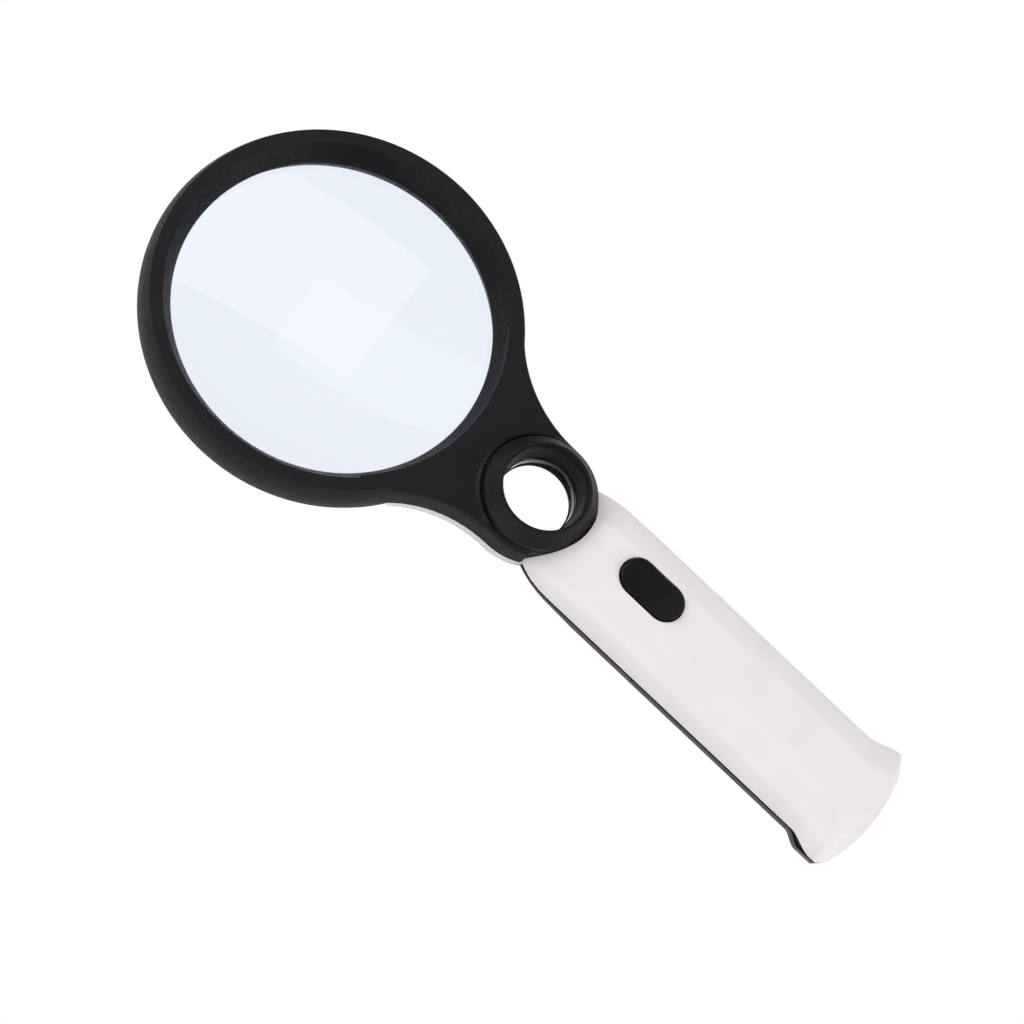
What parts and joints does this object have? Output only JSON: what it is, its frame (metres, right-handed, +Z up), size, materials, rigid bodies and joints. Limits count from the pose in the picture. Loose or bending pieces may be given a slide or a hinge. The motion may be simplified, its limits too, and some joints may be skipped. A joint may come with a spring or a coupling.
{
  "type": "low vision magnifier",
  "caption": "Hand magnifier with a large round main lens, a small strong lens in the neck's eyelet, lamps behind the neck, a push switch and a battery handle.",
  "frame": {"origin": "centre of the bounding box's bottom face, which is the floor the magnifier lies on", "axes": "+Z up through the front face of ring and handle, +Y along the handle towards the main lens, +X to the right seen from the front"},
  "size_m": [0.087, 0.2064, 0.0234],
  "materials": {
    "black_moulding": "fine moulded texture, satin",
    "barrel_black": "satin",
    "black_cover": "satin",
    "button_black": "satin",
    "switch_black": "matte",
    "switch_grey": "matte",
    "board_green": "solder mask gloss",
    "white_moulding": "smooth satin",
    "lens_clear": "polished, clear with a faint cool tint",
    "bright_ring": "polished",
    "tray_black": "matte",
    "cell_jacket": "printed sleeve without text",
    "spring_steel": "bright wire",
    "contact_metal": "nickel plated",
    "wire_red": "smooth insulation",
    "wire_black": "smooth insulation",
    "lamp_clear": "clear epoxy",
    "resistor_tan": "lacquer",
    "screw_steel": "zinc plated"
  },
  "bodies": {
    "magnifier": {"battery_1": "cell_jacket", "battery_2": "cell_jacket", "battery_3": "cell_jacket", "battery_spring_1": "spring_steel", "battery_spring_2": "spring_steel", "battery_spring_3": "spring_steel", "battery_tray": "tray_black", "handle_front_cover": "white_moulding", "handle_rear_cover": "black_cover", "handle_screws": "screw_steel", "head_contacts": "contact_metal", "head_frame": "black_moulding", "lamp_wire_black": "wire_black", "lamp_wire_red": "wire_red", "led_1": "lamp_clear", "led_2": "lamp_clear", "led_3": "lamp_clear", "led_board": "board_green", "main_lens": "lens_clear", "main_lens_ring": "barrel_black", "neck_cover": "white_moulding", "neck_screws": "screw_steel", "resistor": "resistor_tan", "small_lens": "lens_clear", "small_lens_barrel": "barrel_black", "small_lens_ring": "bright_ring", "switch_board": "board_green", "switch_body": "switch_black", "tail_contacts": "contact_metal", "tray_screws": "screw_steel"},
    "door": {"battery_door": "black_cover"},
    "button": {"switch_button": "button_black", "switch_plunger": "switch_grey"}
  },
  "joints": [
    {"name": "door_slide", "type": "slide", "parent": "magnifier", "child": "door", "axis": [0, -1, 0], "range_m": [0, 0.056]},
    {"name": "button_press", "type": "slide", "parent": "magnifier", "child": "button", "axis": [0, 0, -1], "range_m": [0, 0.0012], "stiffness_N_per_m": 300, "springref_m": -0.0006}
  ]
}
